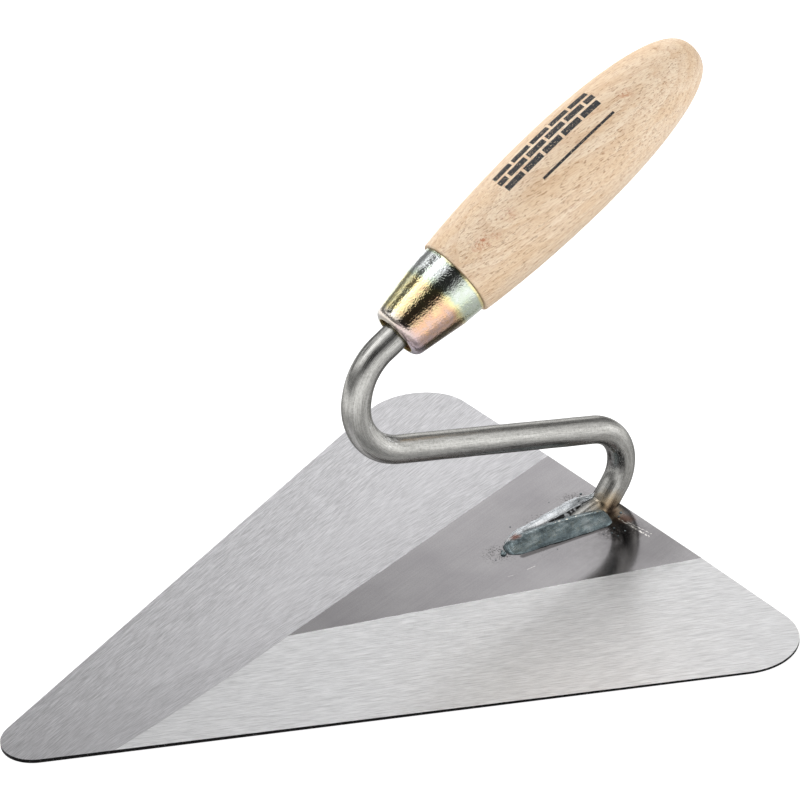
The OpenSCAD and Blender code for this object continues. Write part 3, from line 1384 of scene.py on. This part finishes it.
@dataclass
class HandleAxis:
    """The handle's own frame: its origin is the middle of the ferrule's mouth, and Z runs along the grip."""

    record: InitVar[dict]
    ferrule_len: float = 25.0
    shoulder_gap: float = 0.25
    belly_at: float = 46.0
    collar_from: float = 17.6
    mouth: Vector = field(init=False)
    tilt: float = field(init=False)

    def __post_init__(self, record: dict) -> None:
        """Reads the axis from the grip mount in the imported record.

        Args:
            record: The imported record.
        """
        grip = next(mount for mount in record["mounts"] if mount["name"] == "handle_grip")
        along = Vector(grip["axis"]).normalized()
        widest = self.ferrule_len + self.shoulder_gap + self.belly_at
        self.mouth = Vector(grip["pos_m"]) / MM - along * widest
        self.tilt = math.pi / 2 - math.atan2(along.z, along.y)

    def local(self, graph: Graph) -> Socket:
        """Gives the place in the handle's frame, in millimetres.

        Args:
            graph: The material's graph.

        Returns:
            The place.
        """
        off = graph.vector("SUBTRACT", graph.millimetres(), tuple(self.mouth)).outputs[0]
        turn = graph.node("VectorRotate", rotation_type="X_AXIS")
        graph.feed(turn.inputs["Vector"], off)
        turn.inputs["Angle"].default_value = self.tilt
        return turn.outputs[0]


# --- ferrule


@dataclass(frozen=True)
class ZincPlate(Finish):
    """Zinc plate with a yellow passivation that shifts to pink, lilac and pale green."""

    yellow: Colour = shade(252, 239, 178)
    pink: Colour = shade(236, 192, 158)
    lilac: Colour = shade(205, 196, 214)
    green: Colour = shade(214, 226, 206)
    # The white stands partly for the film's colour and partly for a painted highlight on the collar.
    white: Colour = shade(236, 240, 240)
    dull: Colour = shade(96, 92, 84)
    # The olive is painted shade along the underside of the cone.
    olive: Colour = shade(112, 100, 62)
    # The angle that counts as the top of the ferrule, and how far round the film is turned.
    turn: float = 39.9
    lag: float = 8
    # Film thickness on the cone and on the collar: its middle and how far it swings round them.
    cone_film: Pair = (0.41, 0.17)
    collar_film: Pair = (0.78, 0.1)
    cloudiness: float = 0.42
    # Places along the axis: the lip, and the rim that the film thins towards.
    lip: Pair = (1.5, 4.5)
    rim: Pair = (23.6, 24.8)
    rim_thinning: float = 0.22
    bore_r: Pair = (6.5, 6.9)
    swell_depth: float = 0.12
    peel_depth: float = 0.085

    def build(self, axis: HandleAxis) -> bpy.types.Material:
        """Makes the material round the handle's axis.

        Args:
            axis: The handle's axis.

        Returns:
            The material.
        """
        material, graph, shader = self.start("plated_sheet", Metallic=1.0)
        local = axis.local(graph)
        x, y, z = graph.split(local)
        angle = graph.plus(graph.math("ARCTAN2", y, x), math.radians(self.turn + self.lag))
        wave = graph.math("SINE", angle)
        cone, collar = (
            graph.minus(middle, graph.times(wave, swing))
            for middle, swing in (self.cone_film, self.collar_film)
        )
        shoulder = graph.span(z, axis.collar_from - 3.5, axis.collar_from + 2)
        film = graph.plus(cone, graph.times(shoulder, graph.minus(collar, cone)))
        cloudy = graph.minus(graph.noise(local, 0.3, 4, 0.6), 0.5)
        film = graph.plus(film, graph.times(cloudy, self.cloudiness))
        film = graph.minus(film, graph.span(z, *self.rim, 0, self.rim_thinning))
        colours = (self.lilac, self.pink, self.yellow, self.green, self.white)
        # The white end of the ramp, which the collar reaches on one side, is partly the film's colour and
        # partly a painted highlight.
        colour = graph.ramp(film, list(zip((0.12, 0.32, 0.5, 0.66, 0.84), colours)))
        # Painted shade: an olive strip darkens the underside of the cone.
        underside_shade = graph.times(graph.span(wave, 0.88, 0.95), graph.minus(1, shoulder))
        colour = graph.stain(colour, self.olive, underside_shade, 0.85)
        colour = graph.stain(colour, self.lilac, graph.span(z, *self.lip, 1, 0), 0.6)
        grime = graph.group(self.effects.specks, vector=local, size=0.3, cover=0.22)
        colour = graph.stain(colour, self.dull, grime, 0.3)
        flat = graph.vector("MULTIPLY", local, (1.0, 1.0, 0.0)).outputs[0]
        inside = graph.span(graph.vector("LENGTH", flat).outputs["Value"], *self.bore_r, 1, 0)
        graph.feed(shader.inputs["Base Color"], graph.mix(inside, colour, self.yellow))
        peel = graph.noise(local, 1.7, 1, 0.6)
        rough = graph.blend((peel, 0.05), (inside, 0.4))
        graph.feed(shader.inputs["Roughness"], graph.plus(rough, 0.03))
        swell = graph.bump(graph.noise(local, 0.35, 2, 0.5), self.swell_depth)
        graph.feed(shader.inputs["Normal"], graph.bump(peel, self.peel_depth, swell))
        return material


# --- handle


@dataclass(frozen=True)
class Beech(Finish):
    """Turned beech under a thin satin lacquer, with flecks, faint rings and a printed brick mark."""

    pale: Colour = shade(240, 220, 194)
    warm: Colour = shade(234, 208, 176)
    ring: Colour = shade(196, 150, 108)
    fleck: Colour = shade(168, 112, 72)
    knot: Colour = shade(184, 104, 66)
    ink: Colour = shade(44, 46, 50)
    slope_of_grain: float = 11
    facing: float = -39.9
    pith_angle: float = 124
    pith_away: float = 46
    ring_gap: float = 1.9
    ring_cone: float = 0.07
    ring_wander: float = 5
    relief: float = 0.09
    # Reddish marks in the wood: place along the axis, angle round it, radius and strength.
    marks_r: float = 15.0
    marks: Sequence[tuple[float, float, float, float]] = (
        (36, -47, 3.2, 0.8),
        (33.5, -47, 2.2, 0.6),
        (39.6, -42, 2.2, 0.55),
        (47, -49, 3.5, 0.35),
        (98.8, -57, 3.2, 0.5),
        (63, -3, 1.6, 0.4),
        (80, 150, 4.0, 0.6),
    )
    # The print: the radius it is measured at, its angles and its places along the axis.
    print_r: float = 15.6
    print_angles: Pair = (-101, -66)
    print_span: Pair = (52, 92)
    courses: int = 3
    brick: float = 8.0
    mortar: float = 0.5
    rule_angle: float = -50
    rule_span: Pair = (62, 92)
    rule_half: float = 0.35

    def build(self, axis: HandleAxis) -> bpy.types.Material:
        """Makes the material round the handle's axis.

        Args:
            axis: The handle's axis.

        Returns:
            The material.
        """
        lacquer = {"Coat_Weight": 0.12, "Coat_Roughness": 0.3, "Specular_IOR_Level": 0.35}
        material, graph, shader = self.start("beech", **lacquer)
        local = axis.local(graph)
        x, y, z = graph.split(local)
        sloped = graph.node("VectorRotate", rotation_type="AXIS_ANGLE")
        graph.feed(sloped.inputs["Vector"], local)
        graph.feed(sloped.inputs["Center"], (0.0, 0.0, axis.belly_at))
        sloped.inputs["Axis"].default_value = (*turned(self.facing), 0.0)
        sloped.inputs["Angle"].default_value = math.radians(self.slope_of_grain)
        grain, fibre, dashes = (
            graph.vector("MULTIPLY", sloped.outputs[0], (1.0, 1.0, share)).outputs[0]
            for share in (0.18, 0.13, 0.17)
        )
        colour = graph.mix(graph.span(graph.noise(grain, 0.22, 4), 0.35, 0.65), self.pale, self.warm)
        colour = graph.stain(colour, self.ring, self._rings(graph, local, z, grain), 0.3)
        threads = graph.noise(fibre, 3.2, 3, 0.6)
        colour = graph.stain(colour, self.ring, graph.span(threads, 0.45, 0.62), 0.36)
        flecks = graph.group(self.effects.specks, vector=dashes, size=0.34, cover=0.3)
        colour = graph.stain(colour, self.fleck, flecks, 0.55)
        for along, around, radius, strength in self.marks:
            centre = (*(self.marks_r * part for part in turned(around)), along)
            near = graph.group(self.effects.patch, vector=local, centre=centre, radius=radius, ragged=3.0)
            mottled = graph.span(graph.noise(local, 1.1, 4, 0.7), 0.42, 0.6)
            colour = graph.stain(colour, self.knot, graph.times(near, mottled), strength)
        colour = graph.mix(self._print(graph, x, y, z, local), colour, self.ink)
        graph.feed(shader.inputs["Base Color"], colour)
        graph.feed(shader.inputs["Roughness"], graph.plus(graph.times(threads, 0.16), 0.42))
        height = graph.minus(graph.times(threads, 0.5), flecks)
        graph.feed(shader.inputs["Normal"], graph.bump(height, self.relief))
        return material

    def _rings(self, graph: Graph, local: Socket, z: Socket, grain: Socket) -> Socket:
        """Gives the late wood of the year rings, which are cones round a pith outside the handle.

        Args:
            graph: The material's graph.
            local: The place in the handle's frame, in millimetres.
            z: The place along the axis.
            grain: The place, drawn out along the grain.

        Returns:
            The mask.
        """
        pith = tuple(self.pith_away * part for part in turned(self.pith_angle))
        across = graph.vector("SUBTRACT", local, (*pith, 0)).outputs[0]
        flat = graph.vector("MULTIPLY", across, (1.0, 1.0, 0.0)).outputs[0]
        away = graph.vector("LENGTH", flat).outputs["Value"]
        wander = graph.noise(grain, 0.12, 3)
        away = graph.plus(away, graph.blend((z, self.ring_cone), (wander, self.ring_wander)))
        cycle = graph.math("FRACT", graph.math("DIVIDE", away, self.ring_gap))
        return graph.math("POWER", cycle, 3)

    def _print(self, graph: Graph, x: Socket, y: Socket, z: Socket, local: Socket) -> Socket:
        """Gives the mask of the printed mark: courses of bricks over one ruled line.

        Args:
            graph: The material's graph.
            x: The place's x in the handle's frame.
            y: The place's y in the handle's frame.
            z: The place along the axis.
            local: The place in the handle's frame, in millimetres.

        Returns:
            The mask.
        """
        arc = graph.times(graph.math("ARCTAN2", y, x), self.print_r)
        low, high = (self.print_r * math.radians(value) for value in self.print_angles)
        bricks = graph.node("TexBrick", offset=0.5)
        graph.feed(bricks.inputs["Vector"], graph.join(z, graph.minus(arc, low), 0.0))
        for label, value in (
            ("Scale", 1.0),
            ("Mortar Size", self.mortar),
            ("Mortar Smooth", 0.1),
            ("Brick Width", self.brick),
            ("Row Height", (high - low) / self.courses),
        ):
            bricks.inputs[label].default_value = value
        inked = graph.minus(1, bricks.outputs["Fac"])
        band = graph.times(graph.span(arc, low, low + 0.2), graph.span(arc, high - 0.2, high, 1, 0))
        mark = graph.times(inked, graph.times(graph.between(z, *self.print_span), band))
        off = graph.math("ABSOLUTE", graph.minus(arc, self.print_r * math.radians(self.rule_angle)))
        line = graph.span(off, self.rule_half, self.rule_half + 0.15, 1, 0)
        mark = graph.math("MAXIMUM", mark, graph.times(line, graph.between(z, *self.rule_span)))
        wear_and_shade = graph.span(graph.noise(local, 3.0, 3), 0.3, 0.42)
        return graph.times(mark, wear_and_shade)


# --- studio


@dataclass(frozen=True)
class Softbox:
    """An area light that faces the tool.

    Its angles are degrees from +Y towards +X and above the floor, and its power is in watts.
    """

    name: str
    angles: Pair
    distance: float
    size: Pair
    power: float


@dataclass
class Studio:
    """The pale floor, the soft lights and the camera."""

    azimuth: float = 59.56
    elevation: float = 28.78
    roll: float = -4.99
    distance: float = 1189.6
    aim: Triple = (-102.46, 93.98, 1.0)
    lens: float = 157.5
    clip: Pair = (0.05, 20)
    floor_half: float = 6000
    floor_drop: float = 0.3
    # The floor's glow to the camera, and in reflections: its most, its least and how it spreads.
    floor_glow: float = 0.85
    table_glow: float = 0.75
    shaded: float = 0.1
    shaded_at: Triple = (-30.0, 20.0, 0.0)
    shaded_span: Pair = (130, 300)
    # The room's light in reflections, its pale horizon and the heading that the horizon faces.
    room: float = 0.23
    horizon: float = 1.0
    horizon_at: float = 75
    # Spots of the room: azimuth from +Y towards +X, elevation, outer and inner radius, all in degrees.
    dark_end: Spot = (126, 42, 31, 14)
    gap: Spot = (-122, 42, 17, 9)
    dark_share: float = 0.1
    # Windows are such spots with the light that they add.
    windows: Sequence[tuple[float, float, float, float, float]] = (
        (-53, 21, 22, 4, 1.25),
        (-125, 47, 36, 18, 1.0),
        (-172, 52, 26, 12, 0.8),
        (0, 86, 38, 14, 0.7),
        (32, 28, 34, 10, 0.75),
    )
    softboxes: Sequence[Softbox] = (
        Softbox("wall_light", (-75, 38), 1500, (1200, 900), 18),
        Softbox("front_fill", (115, 30), 1500, (900, 900), 5.2),
        Softbox("low_fill", (70, 8), 1300, (900, 500), 1.2),
    )

    def build(self) -> None:
        """Makes everything that isn't part of the tool."""
        self._camera()
        self._floor()
        self._world()
        for softbox in self.softboxes:
            self._light(softbox)
        bpy.context.scene.view_settings.view_transform = "Standard"
        log.info("studio: camera %.0f mm away", self.distance)

    def _camera(self) -> None:
        """Makes the camera and puts it in use."""
        across, around = turned(self.azimuth)
        level, rise = turned(self.elevation)
        back = Vector((around * level, -across * level, rise))
        right = Vector((0, 0, 1)).cross(back).normalized()
        up = back.cross(right)
        cosine, sine = turned(self.roll)
        turned_right = right * cosine + up * sine
        turned_up = up * cosine - right * sine
        data = bpy.data.cameras.new("camera")
        data.lens = self.lens
        data.clip_start, data.clip_end = self.clip
        camera = bpy.data.objects.new("camera", data)
        bpy.context.scene.collection.objects.link(camera)
        place = Matrix.Translation((Vector(self.aim) + back * self.distance) * MM)
        camera.matrix_world = place @ Matrix((turned_right, turned_up, back)).transposed().to_4x4()
        bpy.context.scene.camera = camera

    def _floor(self) -> None:
        """Makes the floor: white to look at, and dimmer near the tool in its reflections."""
        mesh = bpy.data.meshes.new("floor")
        half, level = self.floor_half * MM, -self.floor_drop * MM
        corners = [(-half, -half, level), (half, -half, level), (half, half, level), (-half, half, level)]
        mesh.from_pydata(corners, [], [(0, 1, 2, 3)])
        floor = bpy.data.objects.new("floor", mesh)
        bpy.context.scene.collection.objects.link(floor)
        material, graph, shader = Finish.start("studio_paper", Roughness=0.9, Specular_IOR_Level=0.1)
        shader.inputs["Base Color"].default_value = (0.4, 0.4, 0.4, 1)
        shader.inputs["Emission Color"].default_value = (1, 1, 1, 1)
        away = graph.vector("DISTANCE", graph.millimetres(), self.shaded_at).outputs["Value"]
        glow = graph.times(graph.span(away, *self.shaded_span, self.shaded, 1), self.table_glow)
        seen = graph.node("LightPath").outputs["Is Camera Ray"]
        mirrored = graph.times(graph.minus(1, seen), glow)
        strength = graph.plus(graph.times(seen, self.floor_glow), mirrored)
        graph.feed(shader.inputs["Emission Strength"], strength)
        wear(floor, material)

    @staticmethod
    def _toward(azimuth: float, elevation: float) -> Vector:
        """Gives a direction from degrees from +Y towards +X, and degrees above the floor."""
        ahead, aside = turned(azimuth)
        level, rise = turned(elevation)
        return Vector((aside * level, ahead * level, rise))

    def _world(self) -> None:
        """Makes the room: windows, a pale horizon on the right, one dark end and one dark gap."""
        world = bpy.data.worlds.new("studio_room")
        bpy.context.scene.world = world
        world.use_nodes = True
        graph = Graph(world.node_tree)
        direction = graph.node("TexCoord").outputs["Generated"]
        height = graph.split(direction)[2]

        def facing(azimuth: float, elevation: float) -> Socket:
            """Gives how nearly a direction faces another one, as a cosine."""
            toward = tuple(self._toward(azimuth, elevation))
            return graph.vector("DOT_PRODUCT", direction, toward).outputs["Value"]

        def spot(azimuth: float, elevation: float, wide: float, narrow: float, *values: float) -> Socket:
            """Gives a soft round spot, from 0 outside to 1 inside or between the two values given."""
            return graph.span(facing(azimuth, elevation), turned(wide)[0], turned(narrow)[0], *values)

        near_floor = graph.span(height, 0.02, 0.5, self.horizon, 0)
        on_right = graph.span(facing(self.horizon_at, 0), -0.2, 0.5)
        light = graph.plus(graph.times(near_floor, on_right), self.room)
        light = graph.times(light, spot(*self.dark_end, 1, self.dark_share))
        for *shape, extra in self.windows:
            light = graph.plus(light, graph.times(spot(*shape), extra))
        light = graph.times(light, spot(*self.gap, 1, self.dark_share))
        seen = graph.node("LightPath").outputs["Is Camera Ray"]
        light = graph.math("MAXIMUM", light, seen)
        background = world.node_tree.nodes["Background"]
        background.inputs["Color"].default_value = (1, 1, 1, 1)
        graph.feed(background.inputs["Strength"], light)

    def _light(self, softbox: Softbox) -> None:
        """Makes one area light, which isn't mirrored in the tool.

        Args:
            softbox: The light to make.
        """
        data = bpy.data.lights.new(softbox.name, "AREA")
        data.shape = "RECTANGLE"
        data.size, data.size_y = (side * MM for side in softbox.size)
        data.energy = softbox.power
        light = bpy.data.objects.new(softbox.name, data)
        bpy.context.scene.collection.objects.link(light)
        place = self._toward(*softbox.angles) * softbox.distance * MM
        light.matrix_world = Matrix.Translation(place) @ place.to_track_quat("Z", "Y").to_matrix().to_4x4()
        light.visible_camera = False
        light.visible_glossy = False


# --- making


def dress_packed(frame: dict, node: str, material: bpy.types.Material) -> None:
    """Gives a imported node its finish.

    Args:
        node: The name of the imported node.
        material: Its finish.
    """
    piece = frame["nodes"][node]
    wear(piece, material)
    log.info("%s: packed part, %d faces", node, len(piece.data.polygons))


def main() -> None:
    """Builds the scene in order."""
    logging.basicConfig(level=logging.INFO, format="%(message)s")
    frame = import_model()
    effects = Effects()
    blade = Blade()
    blade.dress(frame, effects)
    Neck().build(blade, effects)
    Weld().build(blade, effects)
    axis = HandleAxis(frame["record"])
    dress_packed(frame, "ferrule", ZincPlate(effects).build(axis))
    dress_packed(frame, "handle", Beech(effects).build(axis))
    Studio().build()


if __name__ == "__main__":
    main()
